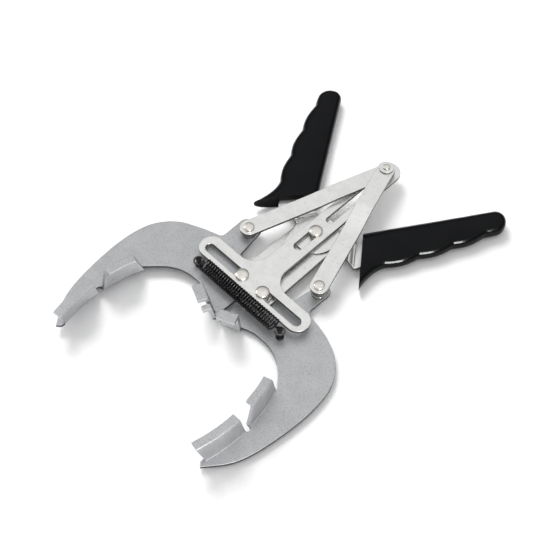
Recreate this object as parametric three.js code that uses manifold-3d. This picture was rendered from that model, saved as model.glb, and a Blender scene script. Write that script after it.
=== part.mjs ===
// Piston-ring expander pliers, as an assembly of separate named pieces.
// Units are millimetres. Design axes: X across the tool, Y along it from the claws (-Y) to the
// grips (+Y), Z up. The design origin is the main pivot; the finished group is centred at the end.
import * as THREE from "three";
import { mergeVertices } from "three/addons/utils/BufferGeometryUtils.js";
import Module from "manifold-3d";

const wasm = await Module();
wasm.setup();

// ---- driving dimensions ---------------------------------------------------------------------
const GAP = 0.3; // clearance between pieces that touch on the real tool
const SHEET = 2.5; // jaws, handles and guide plate
const LINK_SHEET = 2.2;

// Layers of the stack, each the underside of its sheet, from the surface the tool lies on.
const LAYER_C = 1.8; // right jaw and left handle
const LAYER_B = LAYER_C + SHEET + GAP; // left jaw and right handle
const LAYER_A = LAYER_B + SHEET + GAP; // slide washers and pivot disc
const WASHER = 1.0;
const GUIDE = LAYER_A + WASHER + GAP; // guide plate
const GUIDE_TOP = GUIDE + SHEET;
const LIP_TOP = GUIDE_TOP + 12.7;

const SLIDE_PIN = { x: 8.9, y: -55.5 }; // jaw, handle arm and crossbar slot
const LINK_PIN = { x: 30.5, y: -28.7 }; // jaw and link
const APEX_Y = 64.6; // where both links meet over the stem

const GUIDE_PLATE = {
  barHalf: 45.3,
  barY: -54.0,
  barWidth: 16,
  stemHalf: 7.8,
  stemEndY: 67.3,
  shoulderR: 12,
  slotY: -55.3,
  slotR: 3.15,
  slotInner: 8.3,
  slotOuter: 37.4,
};
const STEM_SLOT = { r: 3.0, from: -15.5, to: 0.2 };
const APEX_SLOT = { r: 2.5, from: 12.7, to: APEX_Y + 0.1 };

const HUB_R = 15.4;
const ARM_END_R = 7.5;
const HEAD_R = 4.6;
const HEAD_H = 2.2;
const LINK_HALF = 5.7;
const SLIDE_HOLE = 3.1;
const LINK_HOLE = 2.3;
const POST_HOLE = 1.6;
const PIVOT_HOLE = 2.7;
const PIVOT_HOLE_LEFT = 3.4; // opened, so the left handle can drift off the stem's line
const APEX_HOLE = 2.2;
const APEX_HOLE_RIGHT = 2.6; // opened for the same drift

const SPRING = { y: -66.9, postX: 35.2, bodyHalf: 30.6, radius: 3.1, wire: 0.55, turns: 36 };
const SPRING_Z = LAYER_A + SPRING.radius + SPRING.wire + 0.25;

// Grip frame: s runs back along the straight inner edge, d runs outwards from it.
const GRIP = {
  corner: new THREE.Vector2(20.0, 22.1),
  along: new THREE.Vector2(0.549, 0.836),
  length: 91,
  guard: 12.4,
  thick: 11.0,
  endR: 6.2,
  bumpPitch: 22.6,
  bumpStart: 7.3,
  bumpHeight: 1.7,
  squareness: 0.55,
};
const TANG_RIGHT = 3.0; // underside of the right tang inside its grip
const TANG_LEFT = 4.25;

// ---- materials ------------------------------------------------------------------------------
const steel = (color, roughness) =>
  new THREE.MeshStandardMaterial({ color, roughness, metalness: 0.9 });
const BLASTED = steel(0xafb0b2, 0.55);
const ZINC = steel(0xdcdcd8, 0.35);
const NICKEL = steel(0xe6e3dc, 0.2);
const BLACK_STEEL = steel(0x121315, 0.4);
const VINYL = new THREE.MeshStandardMaterial({ color: 0x16181b, roughness: 0.25, metalness: 0 });

// ---- solid helpers --------------------------------------------------------------------------
// A closed three.js geometry as a manifold-3d solid, and back.
function solid(geometry) {
  const bare = new THREE.BufferGeometry();
  const source = geometry.index ? geometry.toNonIndexed() : geometry;
  bare.setAttribute("position", source.getAttribute("position"));
  const merged = mergeVertices(bare, 1e-4);
  return new wasm.Manifold(
    new wasm.Mesh({
      numProp: 3,
      vertProperties: merged.attributes.position.array,
      triVerts: new Uint32Array(merged.index.array),
    }),
  );
}

function geometryOf(body) {
  const mesh = body.getMesh();
  const geometry = new THREE.BufferGeometry();
  geometry.setAttribute("position", new THREE.BufferAttribute(mesh.vertProperties, 3));
  geometry.setIndex(new THREE.BufferAttribute(mesh.triVerts, 1));
  geometry.computeVertexNormals();
  return geometry;
}

// A flat outline raised from z to z + height.
function plate(shape, z, height, curveSegments = 8) {
  const settings = { depth: height, bevelEnabled: false, curveSegments };
  return solid(new THREE.ExtrudeGeometry(shape, settings)).translate([0, 0, z]);
}

// A solid of revolution about a vertical line, from [radius, z] points that start and end on it.
function turned(profile, x, y, segments = 20) {
  const points = profile.map(([r, z]) => new THREE.Vector2(r, z));
  const geometry = new THREE.LatheGeometry(points, segments);
  return solid(geometry.rotateX(Math.PI / 2)).translate([x, y, 0]);
}

function ring(x, y, inner, outer, z, height) {
  const shape = new THREE.Shape().absarc(0, 0, outer, 0, 2 * Math.PI, false);
  shape.holes.push(new THREE.Path().absarc(0, 0, inner, 0, 2 * Math.PI, true));
  return plate(shape, z, height, 10).translate([x, y, 0]);
}

function hole(x, y, r) {
  const shape = new THREE.Shape().absarc(0, 0, r, 0, 2 * Math.PI, false);
  return plate(shape, -20, 60, 9).translate([x, y, 0]);
}

// A round-ended slot cutter between two centres.
function slot(x0, y0, x1, y1, r) {
  return wasm.Manifold.hull([hole(x0, y0, r), hole(x1, y1, r)]);
}

// The tapered bar between two discs.
function taperedBar(x0, y0, r0, x1, y1, r1, z, height) {
  const disc = (x, y, r) =>
    plate(new THREE.Shape().absarc(x, y, r, 0, 2 * Math.PI, false), z, height, 14);
  return wasm.Manifold.hull([disc(x0, y0, r0), disc(x1, y1, r1)]);
}

const mirrored = (body) => body.mirror([1, 0, 0]);

// The faces round a row of equal rings of points, open at both ends.
function skin(rings) {
  const count = rings[0].length;
  const vertex = (k, j) => rings[k][j % count].toArray();
  const faces = [];
  for (let k = 0; k < rings.length - 1; k++) {
    for (let j = 0; j < count; j++) {
      faces.push(vertex(k, j), vertex(k, j + 1), vertex(k + 1, j + 1));
      faces.push(vertex(k, j), vertex(k + 1, j + 1), vertex(k + 1, j));
    }
  }
  return faces;
}

// Faces that close a solid, turned outwards if they were listed the other way round.
function closed(faces) {
  const geometry = new THREE.BufferGeometry();
  geometry.setAttribute("position", new THREE.Float32BufferAttribute(faces.flat(), 3));
  const body = solid(geometry);
  if (body.volume() > 0) return body;
  const turnedRound = [];
  for (let i = 0; i < faces.length; i += 3) turnedRound.push(faces[i], faces[i + 2], faces[i + 1]);
  geometry.setAttribute("position", new THREE.Float32BufferAttribute(turnedRound.flat(), 3));
  return solid(geometry);
}

// ---- jaws -----------------------------------------------------------------------------------
// Cross-section of the folded flange: foot, wall leaning over the ring space and lip.
// First coordinate: distance from the base line towards the ring; second: height.
function flangeSection(zPlate, zTop, lean, lip) {
  const inner = 0.5;
  const outer = inner + SHEET;
  const points = [];
  const arc = (u, z, r, from, to) => {
    for (let k = 0; k <= 3; k++) {
      const angle = THREE.MathUtils.degToRad(from + ((to - from) * k) / 3);
      points.push(new THREE.Vector2(u + r * Math.cos(angle), z + r * Math.sin(angle)));
    }
  };
  const footEnd = -outer - 1.5;
  const bendZ = zTop - SHEET - inner;
  points.push(new THREE.Vector2(footEnd, zPlate));
  arc(-outer, zPlate + outer, outer, -90, 0);
  arc(lean + inner, bendZ, inner, 180, 90);
  points.push(new THREE.Vector2(lean + lip, zTop - SHEET));
  points.push(new THREE.Vector2(lean + lip, zTop));
  arc(lean + inner, bendZ, outer, 90, 180);
  arc(-outer, zPlate + outer, inner, 0, -90);
  points.push(new THREE.Vector2(footEnd, zPlate + SHEET));
  return points;
}

// The flange swept along a base line; the ring side is to the left of the direction of travel.
// Towards the lip each end is cut back, by up to scoopStart and scoopEnd, from a fifth of the
// height upwards; a negative amount cuts the foot back instead.
function flange(base, stations, section, scoopStart = 0, scoopEnd = 0) {
  const curve = new THREE.CatmullRomCurve3(base.map(([x, y]) => new THREE.Vector3(x, y, 0)));
  const length = curve.getLength();
  const low = Math.min(...section.map((p) => p.y));
  const high = Math.max(...section.map((p) => p.y));
  const cut = (amount, z) => {
    const rise = Math.sqrt(Math.max(0, (1.25 * (z - low)) / (high - low) - 0.25));
    return (amount > 0 ? amount * rise : amount * (rise - 1)) / length;
  };
  const rings = [];
  for (let k = 0; k <= stations; k++) {
    rings.push(
      section.map((p) => {
        const from = cut(scoopStart, p.y);
        const t = from + (k / stations) * (1 - from - cut(scoopEnd, p.y));
        const at = curve.getPointAt(t);
        const tangent = curve.getTangentAt(t);
        return new THREE.Vector3(at.x - tangent.y * p.x, at.y + tangent.x * p.x, p.y);
      }),
    );
  }
  const faces = skin(rings);
  for (const [a, b, c] of THREE.ShapeUtils.triangulateShape(section, [])) {
    const first = rings[0];
    const last = rings[stations];
    faces.push(first[a].toArray(), first[c].toArray(), first[b].toArray());
    faces.push(last[a].toArray(), last[b].toArray(), last[c].toArray());
  }
  return closed(faces);
}

// The claw's outer edge, from beside the ear round to the tip.
const CLAW_BACK = [[56, -47.6], [70, -55.2], [80, -69.5], [83.1, -92], [80.3, -122], [74.6, -142]];
const CLAW_TIP = [63.4, -157.4];

function splineTo(shape, points) {
  shape.splineThru(points.map(([x, y]) => new THREE.Vector2(x, y)));
}

// Everything inside the claw's outer edge, which trims the flanges to it.
function clawMask() {
  const shape = new THREE.Shape();
  shape.moveTo(0, -40);
  shape.lineTo(40, -43.5);
  splineTo(shape, [...CLAW_BACK, CLAW_TIP]);
  shape.lineTo(40, -159);
  shape.lineTo(0, -159);
  return plate(shape, -20, 60, 5);
}

// The claw plate seen from above, for the right side. earOuter is the ear's outer edge.
function jawShape(earOuter) {
  const shape = new THREE.Shape();
  shape.moveTo(23.0, -43.4);
  shape.lineTo(26.0, -24.0);
  shape.quadraticCurveTo(26.4, -20.4, 30.0, -20.4);
  shape.lineTo(earOuter - 4.6, -20.4);
  shape.quadraticCurveTo(earOuter, -21.2, earOuter, -26.0);
  shape.lineTo(earOuter - 0.4, -39.2);
  shape.quadraticCurveTo(earOuter - 0.4, -42.8, earOuter + 3.6, -43.5);
  splineTo(shape, [...CLAW_BACK, CLAW_TIP]);
  shape.lineTo(61.2, -155.4);
  shape.lineTo(60.8, -152.6);
  shape.lineTo(63.9, -151.0);
  splineTo(shape, [[65.3, -145.5], [66.4, -133], [66.3, -124.3]]);
  shape.lineTo(64.9, -124.3);
  shape.absarc(64.9, -122.5, 1.8, -Math.PI / 2, Math.PI / 2, false);
  shape.lineTo(65.9, -120.7);
  splineTo(shape, [[65.0, -113], [62.9, -102.8], [59.4, -93.2]]);
  splineTo(shape, [[50.4, -83.6], [42.6, -78.3], [33.5, -75.7], [22.8, -75.7]]);
  shape.lineTo(17.2, -77.3);
  shape.lineTo(6.2, -81.9);
  shape.lineTo(1.4, -84.0);
  shape.lineTo(0.9, -74.4);
  shape.lineTo(1.5, -58.0);
  shape.absarc(SLIDE_PIN.x, SLIDE_PIN.y, ARM_END_R, Math.PI, Math.PI / 2, true);
  shape.quadraticCurveTo(16.0, -47.6, 23.0, -43.4);
  return shape;
}

function jaw(z, earOuter) {
  const ledge = flangeSection(z, LIP_TOP, -0.4, 3.3);
  const beakLedge = flangeSection(z, LIP_TOP, 2.4, 4.6);
  const ledges = [
    flange([[62.3, -120.7], [61.5, -114], [59.4, -103.8], [56.0, -93.9]], 7, ledge, 4.0, 4.8),
    flange([[59.3, -157.0], [61.7, -145.5], [62.9, -133], [62.7, -124.3]], 8, ledge, -5.0, 3.6),
    flange([[15.6, -81.0], [4.8, -85.8]], 1, beakLedge),
  ];
  const mask = clawMask();
  let body = plate(jawShape(earOuter), z, SHEET, 5);
  for (const folded of ledges) body = body.add(folded.intersect(mask));
  return body
    .subtract(hole(SLIDE_PIN.x, SLIDE_PIN.y, SLIDE_HOLE))
    .subtract(hole(LINK_PIN.x, LINK_PIN.y, LINK_HOLE))
    .subtract(hole(SPRING.postX, SPRING.y, POST_HOLE));
}

const rightJaw = jaw(LAYER_C, 35.4);
// The left claw also carries a low tab at its beak.
const tabSection = flangeSection(LAYER_B, GUIDE_TOP + 8.0, 1.6, 3.6);
const tab = flange([[4.4, -86.6], [0.9, -88.1]], 1, tabSection);
const leftJaw = mirrored(jaw(LAYER_B, 41.2).add(tab));

// ---- handles --------------------------------------------------------------------------------
const across = new THREE.Vector2(GRIP.along.y, -GRIP.along.x);

// A point of the grip frame in design coordinates.
function gripPoint(s, d) {
  return new THREE.Vector2(
    GRIP.corner.x + s * GRIP.along.x + d * across.x,
    GRIP.corner.y + s * GRIP.along.y + d * across.y,
  );
}

// Sheet that steps from one level to another across a line, as a tall profile for intersecting.
// The step runs between two distances along the direction at the given angle.
function steppedSheet(zNear, zFar, thickness, from, to, angle, origin) {
  const profile = new THREE.Shape();
  profile.moveTo(-150, zNear);
  profile.lineTo(from, zNear);
  profile.lineTo(to, zFar);
  profile.lineTo(200, zFar);
  profile.lineTo(200, zFar + thickness);
  profile.lineTo(to, zFar + thickness);
  profile.lineTo(from, zNear + thickness);
  profile.lineTo(-150, zNear + thickness);
  const settings = { depth: 400, bevelEnabled: false };
  const geometry = new THREE.ExtrudeGeometry(profile, settings);
  geometry.translate(0, 0, -200);
  geometry.rotateX(Math.PI / 2);
  geometry.rotateZ(angle);
  return solid(geometry).translate([origin.x, origin.y, 0]);
}

function handle(zHub, zTang, stepFrom, stepTo, pivotHole) {
  const tang = [[-2.2, 5.6], [62, 5.2], [68, 8], [66, 12], [40, 15.5], [10, 18.5], [-9.2, 23.7]];
  const neck = new THREE.Shape();
  neck.moveTo(0, 0);
  neck.lineTo(15.3, -1.4);
  neck.quadraticCurveTo(19.5, 0.9, 25.6, 0.5);
  for (const [s, d] of [...tang].reverse()) {
    const p = gripPoint(s, d);
    neck.lineTo(p.x, p.y);
  }
  neck.quadraticCurveTo(16.5, 14.2, 6.5, 13.9);
  const outline = taperedBar(0, 0, HUB_R, SLIDE_PIN.x, SLIDE_PIN.y, ARM_END_R, -20, 60)
    .add(plate(neck, -20, 60));
  const stepAngle = Math.atan2(0.62, 0.78);
  const sheet = steppedSheet(zHub, zTang, SHEET, stepFrom, stepTo, stepAngle, { x: 0, y: 0 });
  return outline
    .intersect(sheet)
    .subtract(hole(0, 0, pivotHole))
    .subtract(hole(SLIDE_PIN.x, SLIDE_PIN.y, SLIDE_HOLE));
}

const rightHandle = handle(LAYER_B, TANG_RIGHT, 21.5, 25.5, PIVOT_HOLE);
const leftHandle = mirrored(handle(LAYER_C, TANG_LEFT, 16.2, 20.0, PIVOT_HOLE_LEFT));

// ---- grips ----------------------------------------------------------------------------------
// Outer edge of the grip: a slow taper with finger bumps, flaring into the guard at the front.
function gripOuter(s) {
  const taper = 26.7 - 0.06 * s - 0.00105 * s * s;
  if (s < GRIP.bumpStart) {
    const ahead = GRIP.bumpStart - s;
    return taper + 0.1 * ahead + 0.0255 * ahead * ahead;
  }
  const phase = (Math.PI * (s - GRIP.bumpStart)) / GRIP.bumpPitch;
  return taper + GRIP.bumpHeight * Math.abs(Math.sin(phase));
}

// One cross-section of the grip, a squared-off oval; w runs from 0 at the front cut to 1 at the
// rear end, where it rounds in.
function gripRing(w, sides) {
  const sIn = w * GRIP.length;
  const sOut = -GRIP.guard + w * (GRIP.length + GRIP.guard);
  const overrun = (sIn - (GRIP.length - GRIP.endR)) / GRIP.endR;
  const round = overrun > 0 ? 1 - Math.sqrt(Math.max(0, 1 - overrun * overrun)) : 0;
  const from = gripPoint(sIn, round * GRIP.endR);
  const to = gripPoint(sOut, gripOuter(sOut) - round * GRIP.endR);
  const middle = from.clone().add(to).multiplyScalar(0.5);
  const half = to.clone().sub(from).multiplyScalar(0.5);
  const halfThick = (GRIP.thick / 2) * (1 - 0.7 * round);
  const points = [];
  for (let j = 0; j < sides; j++) {
    const angle = (2 * Math.PI * j) / sides;
    const c = Math.cos(angle);
    const q = Math.sin(angle);
    const width = Math.sign(c) * Math.abs(c) ** GRIP.squareness;
    const rise = Math.sign(q) * Math.abs(q) ** GRIP.squareness;
    points.push(
      new THREE.Vector3(
        middle.x + half.x * width,
        middle.y + half.y * width,
        GRIP.thick / 2 + halfThick * rise,
      ),
    );
  }
  return points;
}

function gripBody() {
  const sides = 16;
  const stations = 28;
  const rings = [];
  const reach = 0.9995; // just short of the end, where a ring would shrink to a line
  for (let k = 0; k <= stations; k++) rings.push(gripRing((reach * k) / stations, sides));
  // Three more rings, each halving the way left, round the rear end in.
  for (let k = 1; k <= 3; k++) rings.splice(-1, 0, gripRing(1 - 0.016 / 2 ** k, sides));
  const faces = skin(rings);
  const first = rings[0];
  const last = rings[rings.length - 1];
  for (let j = 1; j < sides - 1; j++) {
    faces.push(first[0].toArray(), first[j + 1].toArray(), first[j].toArray());
    faces.push(last[0].toArray(), last[j].toArray(), last[j + 1].toArray());
  }
  return closed(faces);
}

// The pocket a tang fits in, a little larger than the tang all round.
function gripPocket(zTang) {
  const pocket = new THREE.Shape();
  const corners = [
    [-6, 5.2], [62.2, 4.8], [68.5, 7.8], [66.4, 12.5], [40, 16], [10, 19.2], [-16, 26.4],
  ];
  corners.forEach(([s, d], k) => {
    const p = gripPoint(s, d);
    if (k === 0) pocket.moveTo(p.x, p.y);
    else pocket.lineTo(p.x, p.y);
  });
  return plate(pocket, zTang - GAP, SHEET + 2 * GAP);
}

const rightGrip = gripBody().subtract(gripPocket(TANG_RIGHT));
const leftGrip = mirrored(gripBody().subtract(gripPocket(TANG_LEFT)));

// ---- guide plate ----------------------------------------------------------------------------
function guidePlate() {
  const g = GUIDE_PLATE;
  const top = g.barY + g.barWidth / 2;
  const bottom = g.barY - g.barWidth / 2;
  const r = g.barWidth / 2;
  const end = g.barHalf - r;
  const shoulderX = g.stemHalf + g.shoulderR;
  const shoulderY = top + g.shoulderR;
  const shape = new THREE.Shape();
  shape.moveTo(-end, bottom);
  shape.lineTo(end, bottom);
  shape.absarc(end, g.barY, r, -Math.PI / 2, Math.PI / 2, false);
  shape.lineTo(shoulderX, top);
  shape.absarc(shoulderX, shoulderY, g.shoulderR, -Math.PI / 2, -Math.PI, true);
  shape.lineTo(g.stemHalf, g.stemEndY);
  shape.absarc(0, g.stemEndY, g.stemHalf, 0, Math.PI, false);
  shape.lineTo(-g.stemHalf, shoulderY);
  shape.absarc(-shoulderX, shoulderY, g.shoulderR, 0, -Math.PI / 2, true);
  shape.lineTo(-end, top);
  shape.absarc(-end, g.barY, r, Math.PI / 2, (3 * Math.PI) / 2, false);
  let body = plate(shape, GUIDE, SHEET, 10);
  for (const side of [-1, 1]) {
    body = body.subtract(
      slot(side * g.slotInner, g.slotY, side * g.slotOuter, g.slotY, g.slotR),
    );
  }
  return body
    .subtract(slot(0, STEM_SLOT.from, 0, STEM_SLOT.to, STEM_SLOT.r))
    .subtract(slot(0, APEX_SLOT.from, 0, APEX_SLOT.to, APEX_SLOT.r));
}

// ---- links ----------------------------------------------------------------------------------
const LINK_Z = GUIDE_TOP + GAP;
const APEX_WASHER = 0.8;
const LEFT_APEX_Z = LINK_Z + APEX_WASHER + GAP;
const RIGHT_APEX_Z = LEFT_APEX_Z + LINK_SHEET + GAP;

// A link: level at its outer end, stepping up near the apex to lie over the other one.
function link(zApex, apexHole) {
  const span = new THREE.Vector2(-LINK_PIN.x, APEX_Y - LINK_PIN.y);
  const angle = span.angle();
  const bar = taperedBar(LINK_PIN.x, LINK_PIN.y, LINK_HALF, 0, APEX_Y, LINK_HALF, -20, 60);
  const sheet = steppedSheet(LINK_Z, zApex, LINK_SHEET, 54, 60, angle, LINK_PIN);
  return bar
    .intersect(sheet)
    .subtract(hole(LINK_PIN.x, LINK_PIN.y, LINK_HOLE))
    .subtract(hole(0, APEX_Y, apexHole));
}

// ---- rivets and posts -----------------------------------------------------------------------
// A rivet with a domed head above zHead and a flat closed head below zFoot.
function rivet(x, y, shank, headR, zHead, headH, footR, zFoot, footH) {
  const dome = [];
  for (let k = 0; k <= 5; k++) {
    const angle = (Math.PI / 2) * (k / 5);
    const r = headR * 0.62 + headR * 0.38 * Math.cos(angle);
    dome.push([r, zHead + headH * 0.35 + headH * 0.65 * Math.sin(angle)]);
  }
  const foot = [[0, zFoot - footH], [footR - 0.4, zFoot - footH], [footR, zFoot - footH + 0.4]];
  const stem = [[footR, zFoot], [shank, zFoot], [shank, zHead], [headR, zHead]];
  return turned([...foot, ...stem, ...dome, [0, zHead + headH]], x, y);
}

const guideHead = GUIDE_TOP + GAP;
const slideRivet = (side) =>
  rivet(side * SLIDE_PIN.x, SLIDE_PIN.y, 2.8, 4.7, guideHead, HEAD_H, 4.7, LAYER_C - GAP, 1.5);
const pivotRivet = rivet(0, 0, 2.4, HEAD_R, guideHead, HEAD_H, 4.7, LAYER_C - GAP, 1.5);
const linkHead = LINK_Z + LINK_SHEET + GAP;
const linkRivet = (side, zJaw) =>
  rivet(side * LINK_PIN.x, LINK_PIN.y, 2.0, 3.7, linkHead, 1.6, 3.7, zJaw - GAP, 1.5);
const topWasherZ = RIGHT_APEX_Z + LINK_SHEET + GAP;
const underWasherZ = GUIDE - GAP - WASHER;
const apexRivet = rivet(
  0, APEX_Y, 1.9, 2.3, topWasherZ + 0.7 + GAP, 1.0, 3.6, underWasherZ - GAP, 1.4,
);

function springPost(side, zJaw) {
  const top = SPRING_Z + SPRING.wire + 1.2;
  const profile = [
    [0, zJaw - GAP - 0.8],
    [2.4, zJaw - GAP - 0.8],
    [2.4, zJaw - GAP],
    [1.3, zJaw - GAP],
    [1.3, zJaw + SHEET + GAP],
    [2.6, zJaw + SHEET + GAP],
    [2.6, zJaw + SHEET + GAP + 0.8],
    [1.5, zJaw + SHEET + GAP + 1.2],
    [1.5, top - 0.8],
    [2.1, top - 0.4],
    [1.7, top],
    [0, top],
  ];
  return turned(profile, side * SPRING.postX, SPRING.y, 16);
}

// ---- spring ---------------------------------------------------------------------------------
// Centre line: a flat loop round the left post, the coils, and a flat loop round the right post.
class SpringLine extends THREE.Curve {
  getPoint(t, target = new THREE.Vector3()) {
    const side = t < 0.5 ? -1 : 1;
    const u = Math.abs(2 * t - 1); // 0 at the middle, 1 at either end
    const coils = 0.9;
    const entry = 0.93;
    const loopR = 2.65;
    const r = SPRING.radius;
    if (u <= coils) {
      const angle = (side * Math.PI * SPRING.turns * u) / coils + Math.PI / 2;
      const x = (side * SPRING.bodyHalf * u) / coils;
      return target.set(x, SPRING.y + r * Math.cos(angle), SPRING_Z + r * Math.sin(angle));
    }
    if (u <= entry) {
      const k = (u - coils) / (entry - coils);
      const x = THREE.MathUtils.lerp(SPRING.bodyHalf, SPRING.postX - loopR, k);
      return target.set(side * x, SPRING.y, SPRING_Z + r * (1 - k));
    }
    const angle = (1.75 * Math.PI * (u - entry)) / (1 - entry);
    const x = side * (SPRING.postX - loopR * Math.cos(angle));
    return target.set(x, SPRING.y + loopR * Math.sin(angle), SPRING_Z);
  }
}

function springGeometry() {
  const section = new THREE.Shape().absarc(0, 0, SPRING.wire, 0, 2 * Math.PI, false);
  const settings = {
    steps: SPRING.turns * 7 + 28,
    extrudePath: new SpringLine(),
    curveSegments: 2,
    bevelEnabled: false,
  };
  return new THREE.ExtrudeGeometry(section, settings);
}

// ---- assembly -------------------------------------------------------------------------------
const tool = new THREE.Group();

function add(name, body, material) {
  const geometry = body.isBufferGeometry ? body : geometryOf(body);
  const mesh = new THREE.Mesh(geometry, material.clone());
  mesh.name = name;
  tool.add(mesh);
}

add("guide_plate", guidePlate(), ZINC);
add("left_jaw", leftJaw, BLASTED);
add("right_jaw", rightJaw, BLASTED);
add("left_handle", leftHandle, ZINC);
add("right_handle", rightHandle, ZINC);
add("left_grip", leftGrip, VINYL);
add("right_grip", rightGrip, VINYL);
add("left_link", mirrored(link(LEFT_APEX_Z, APEX_HOLE)), ZINC);
add("right_link", link(RIGHT_APEX_Z, APEX_HOLE_RIGHT), ZINC);

add("pivot_rivet", pivotRivet, NICKEL);
add("pivot_disc", ring(0, 0, PIVOT_HOLE, 14.6, LAYER_A, WASHER), ZINC);
for (const [name, side] of [["left", -1], ["right", 1]]) {
  const x = side * SLIDE_PIN.x;
  add(name + "_slide_rivet", slideRivet(side), NICKEL);
  add(name + "_slide_washer", ring(x, SLIDE_PIN.y, SLIDE_HOLE, 5.6, LAYER_A, WASHER), ZINC);
}

add("left_link_rivet", linkRivet(-1, LAYER_B), NICKEL);
add("right_link_rivet", linkRivet(1, LAYER_C), NICKEL);
const spacer = (side, from, to) =>
  ring(side * LINK_PIN.x, LINK_PIN.y, LINK_HOLE, 4.6, from, to - from);
add("left_link_spacer", spacer(-1, LAYER_A, GUIDE_TOP), ZINC);
add("right_link_spacer_lower", spacer(1, LAYER_B, LAYER_A - GAP), ZINC);
add("right_link_spacer_upper", spacer(1, LAYER_A, GUIDE_TOP), ZINC);

add("apex_rivet", apexRivet, NICKEL);
add("apex_guide_washer", ring(0, APEX_Y, APEX_HOLE, 5.2, LINK_Z, APEX_WASHER), ZINC);
add("apex_top_washer", ring(0, APEX_Y, APEX_HOLE, 4.7, topWasherZ, 0.7), ZINC);
add("apex_under_washer", ring(0, APEX_Y, APEX_HOLE, 5.6, underWasherZ, WASHER), ZINC);

add("spring", springGeometry(), BLACK_STEEL);
add("left_spring_post", springPost(-1, LAYER_B), BLACK_STEEL);
add("right_spring_post", springPost(1, LAYER_C), BLACK_STEEL);

// Centre the tool over the origin, standing on z = 0.
const bounds = new THREE.Box3().setFromObject(tool);
const middle = bounds.getCenter(new THREE.Vector3());
tool.position.set(-middle.x, -middle.y, -bounds.min.z);

export default tool;
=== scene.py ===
"""Piston ring expander pliers: finished surfaces, materials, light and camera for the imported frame.

Shapes are worked out in millimetres from the main pivot: X to the right claw, Y from the claws to
the grips, Z up from the bench. Pieces go into the frame in metres.
"""
import math

import bpy
import numpy as np
from mathutils import Matrix, Vector
from mathutils.geometry import delaunay_2d_cdt


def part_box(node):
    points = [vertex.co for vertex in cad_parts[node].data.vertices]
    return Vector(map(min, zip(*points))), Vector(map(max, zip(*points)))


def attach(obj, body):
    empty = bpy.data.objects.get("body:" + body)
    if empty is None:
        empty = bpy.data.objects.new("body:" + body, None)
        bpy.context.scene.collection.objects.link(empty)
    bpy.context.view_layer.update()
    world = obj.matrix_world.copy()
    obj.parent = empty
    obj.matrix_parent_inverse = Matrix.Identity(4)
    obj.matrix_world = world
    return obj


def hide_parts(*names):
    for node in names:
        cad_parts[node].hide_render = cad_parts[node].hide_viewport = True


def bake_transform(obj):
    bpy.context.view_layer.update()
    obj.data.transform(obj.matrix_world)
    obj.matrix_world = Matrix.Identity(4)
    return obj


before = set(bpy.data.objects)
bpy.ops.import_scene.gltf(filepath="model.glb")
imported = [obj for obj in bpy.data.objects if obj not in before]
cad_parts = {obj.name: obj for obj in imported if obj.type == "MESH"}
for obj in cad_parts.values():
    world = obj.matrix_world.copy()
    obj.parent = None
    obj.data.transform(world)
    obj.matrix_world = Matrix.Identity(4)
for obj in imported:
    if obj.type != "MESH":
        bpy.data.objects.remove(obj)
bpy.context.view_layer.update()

MM = 0.001
FULL_TURN = 2 * math.pi
SAME_PLACE = 1e-4  # points nearer than this, in millimetres, count as one


# ---- places read from the frame ----------------------------------------------------------------
def box_mm(node):
    """Lowest and highest corner of a CAD node, in millimetres."""
    low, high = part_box(node)
    return np.array(low) / MM, np.array(high) / MM


def middle(node):
    """Centre of a CAD node's box seen from above, from the main pivot."""
    low, high = box_mm(node)
    return ((low + high) / 2)[:2] - PIVOT


PIVOT = sum(box_mm("pivot_rivet"))[:2] / 2
SLIDE_PIN = middle("right_slide_rivet")
LINK_PIN = middle("right_link_rivet")
APEX = middle("apex_rivet")
POST = middle("right_spring_post")
GUIDE_LOW, GUIDE_TOP = (corner[2] for corner in box_mm("guide_plate"))
LAYER_C = box_mm("right_jaw")[0][2]
LAYER_B = box_mm("left_jaw")[0][2]
LIP_TOP = box_mm("right_jaw")[1][2]
SHEET = GUIDE_TOP - GUIDE_LOW
GRIP_THICK = box_mm("right_grip")[1][2]


# ---- surfaces ----------------------------------------------------------------------------------
def arc(centre, radius, start, end, steps):
    """Points on a circle: centre + radius * (cos a, sin a), a in degrees from start to end."""
    a = np.radians(np.linspace(start, end, steps + 1))
    return np.asarray(centre) + radius * np.column_stack([np.cos(a), np.sin(a)])


def curve(points, steps=12):
    """A Catmull-Rom curve through the points: each span is the cubic whose end slopes are half
    the chord between the neighbours on either side."""
    p = np.asarray(points, float)
    p = np.vstack([p[:1], p, p[-1:]])
    t = np.linspace(0, 1, steps, endpoint=False)[None, :, None]
    before, start, end, after = (p[k : len(p) - 3 + k, None] for k in range(4))
    slope_in, slope_out = (end - before) / 2, (after - start) / 2
    cubic = 2 * (start - end) + slope_in + slope_out
    square = 3 * (end - start) - 2 * slope_in - slope_out
    spans = start + t * (slope_in + t * (square + t * cubic))
    return np.vstack([spans.reshape(-1, 2), p[-1:]])


def bend(start, control, end, steps=8):
    """A quadratic bend: (1-t)^2 start + 2t(1-t) control + t^2 end."""
    t = np.linspace(0, 1, steps + 1)[:, None]
    start, control, end = map(np.asarray, (start, control, end))
    return (1 - t) ** 2 * start + 2 * t * (1 - t) * control + t**2 * end


def circle(centre, radius, steps=40):
    """A closed loop of points round a centre, anticlockwise."""
    return arc(centre, radius, 0, 360, steps)[:-1]


def tidied(loop):
    """The loop without points that repeat the one before."""
    gap = np.linalg.norm(loop - np.roll(loop, 1, axis=0), axis=1)
    return loop[gap > SAME_PLACE]


SHARPEST_CORNER = 0.4  # keeps an inset point from running off at a sharp corner


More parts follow.
